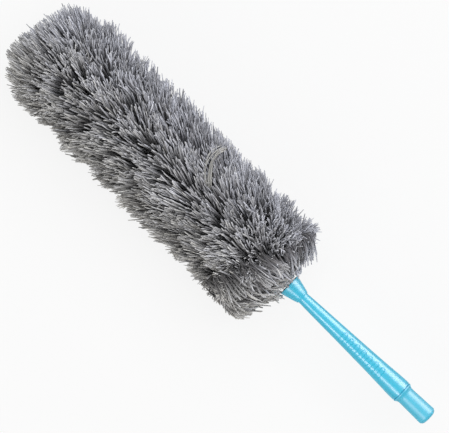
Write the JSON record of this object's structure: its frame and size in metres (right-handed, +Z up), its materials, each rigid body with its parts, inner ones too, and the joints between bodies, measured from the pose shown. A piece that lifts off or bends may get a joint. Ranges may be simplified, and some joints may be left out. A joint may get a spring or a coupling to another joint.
{
  "type": "microfibre duster",
  "caption": "Long round microfibre duster head on a tapered hollow plastic handle, with a flared cup at the join and an end plug that pulls out of the handle's socket.",
  "frame": {"origin": "on the surface that the duster lies on, under the middle of its length and width", "axes": "+X runs along the duster, out of the handle's end, so the head is towards -X; +Z is up from the surface that it lies on"},
  "size_m": [0.5996, 0.1328, 0.1296],
  "materials": {
    "handle_plastic": "gloss, moulded",
    "core_plastic": "matt, extruded",
    "steel": "drawn wire",
    "microfibre": "soft looped strands"
  },
  "bodies": {
    "duster": {"handle": "handle_plastic", "ferrule_cup": "handle_plastic", "core_tube": "core_plastic", "core_wire": "steel", "tip_cap": "core_plastic", "binding_far": "steel", "binding_near": "steel", "fibre_turn_01": "microfibre", "fibre_turn_02": "microfibre", "fibre_turn_03": "microfibre", "fibre_turn_04": "microfibre", "fibre_turn_05": "microfibre", "fibre_turn_06": "microfibre", "fibre_turn_07": "microfibre", "fibre_turn_08": "microfibre", "fibre_turn_09": "microfibre", "fibre_turn_10": "microfibre", "fibre_turn_11": "microfibre", "fibre_turn_12": "microfibre", "fibre_turn_13": "microfibre", "fibre_turn_14": "microfibre", "fibre_turn_15": "microfibre", "fibre_turn_16": "microfibre"},
    "plug": {"end_plug": "handle_plastic"}
  },
  "joints": [
    {"name": "plug_pull", "type": "slide", "parent": "duster", "child": "plug", "axis": [1, 0, 0], "range_m": [0, 0.05]}
  ]
}
